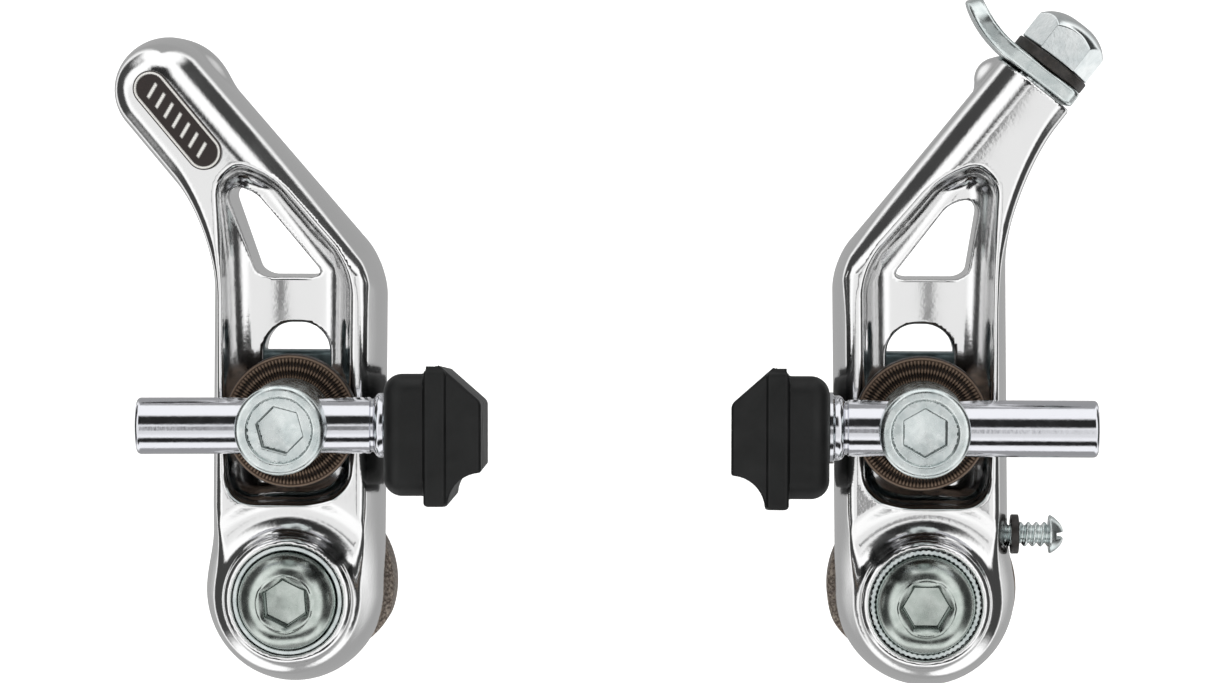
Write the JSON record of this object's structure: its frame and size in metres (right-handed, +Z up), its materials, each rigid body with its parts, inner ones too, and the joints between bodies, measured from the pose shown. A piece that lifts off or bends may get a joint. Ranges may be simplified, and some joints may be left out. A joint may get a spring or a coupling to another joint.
{
  "type": "rim brake caliper",
  "caption": "Pair of cantilever rim brake arms in polished aluminium, with eye-bolt clamped pads on smooth posts, return springs and a cable anchor.",
  "frame": {"origin": "midway between the two pivot axes, in the plane of the fork bosses' seats", "axes": "+X from the left pivot to the right pivot, -Y forwards away from the fork along the pivots, +Z up along the arms"},
  "size_m": [0.1255, 0.0575, 0.0874],
  "materials": {
    "polished_aluminium": "forged, machine polished",
    "zinc_plate": "bright zinc plated steel",
    "chrome_plate": "chrome plated steel",
    "bronze_washer": "brown phosphated steel, knurled",
    "bright_steel": "turned steel",
    "spring_steel": "drawn spring wire",
    "dark_steel": "zinc plated steel block",
    "holder_resin": "moulded glass-filled resin",
    "pad_rubber": "moulded rubber",
    "black_resin": "moulded resin",
    "badge_enamel": "printed film under clear resin"
  },
  "bodies": {
    "fork_mount": {"left_pivot_bushing": "bright_steel", "left_spring_holder": "holder_resin", "left_return_spring": "spring_steel", "left_fixing_bolt": "zinc_plate", "left_fixing_washer": "zinc_plate", "right_pivot_bushing": "bright_steel", "right_spring_holder": "holder_resin", "right_return_spring": "spring_steel", "right_fixing_bolt": "zinc_plate", "right_fixing_washer": "zinc_plate"},
    "left_arm_body": {"left_arm": "polished_aluminium", "left_badge": "badge_enamel"},
    "right_arm_body": {"right_arm": "polished_aluminium", "right_hook_plate": "zinc_plate", "right_anchor_washer": "black_resin", "right_anchor_bolt": "zinc_plate", "right_adjuster_ring": "black_resin"},
    "right_adjuster": {"right_adjuster_screw": "zinc_plate"},
    "left_pad_carrier": {"left_seat_washer": "bronze_washer", "left_rear_slide_block": "dark_steel"},
    "left_clamp": {"left_eye_bolt": "zinc_plate", "left_knurled_washer": "bronze_washer", "left_clamp_nut": "zinc_plate"},
    "left_shoe": {"left_shoe_post": "chrome_plate", "left_backing_plate": "bright_steel", "left_brake_pad": "pad_rubber"},
    "right_pad_carrier": {"right_seat_washer": "bronze_washer", "right_rear_slide_block": "dark_steel"},
    "right_clamp": {"right_eye_bolt": "zinc_plate", "right_knurled_washer": "bronze_washer", "right_clamp_nut": "zinc_plate"},
    "right_shoe": {"right_shoe_post": "chrome_plate", "right_backing_plate": "bright_steel", "right_brake_pad": "pad_rubber"}
  },
  "joints": [
    {"name": "left_arm_swing", "type": "hinge", "parent": "fork_mount", "child": "left_arm_body", "pos_m": [-0.04, 0, 0], "axis": [0, 1, 0], "range_deg": [-30, 12], "stiffness_Nm_per_rad": 0.6},
    {"name": "left_pad_height", "type": "slide", "parent": "left_arm_body", "child": "left_pad_carrier", "axis": [0, 0, 1], "range_m": [-0.002, 0.003]},
    {"name": "left_clamp_turn", "type": "hinge", "parent": "left_pad_carrier", "child": "left_clamp", "pos_m": [-0.0393, -0.0252, 0.0227], "axis": [0, 1, 0], "range_deg": [-4, 4]},
    {"name": "left_shoe_slide", "type": "slide", "parent": "left_clamp", "child": "left_shoe", "axis": [0.9981, 0.061, 0], "range_m": [0, 0.008]},
    {"name": "right_arm_swing", "type": "hinge", "parent": "fork_mount", "child": "right_arm_body", "pos_m": [0.04, 0, 0], "axis": [0, -1, 0], "range_deg": [-30, 12], "stiffness_Nm_per_rad": 0.6},
    {"name": "right_pad_height", "type": "slide", "parent": "right_arm_body", "child": "right_pad_carrier", "axis": [0, 0, 1], "range_m": [-0.002, 0.003]},
    {"name": "right_clamp_turn", "type": "hinge", "parent": "right_pad_carrier", "child": "right_clamp", "pos_m": [0.0393, -0.0252, 0.0227], "axis": [0, -1, 0], "range_deg": [-4, 4]},
    {"name": "right_shoe_slide", "type": "slide", "parent": "right_clamp", "child": "right_shoe", "axis": [-1, 0, 0], "range_m": [0, 0.008]},
    {"name": "adjuster_turn", "type": "hinge", "parent": "right_arm_body", "child": "right_adjuster", "pos_m": [0.049, -0.011, 0.0078], "axis": [1, 0, 0], "range_deg": [-360, 360]}
  ]
}
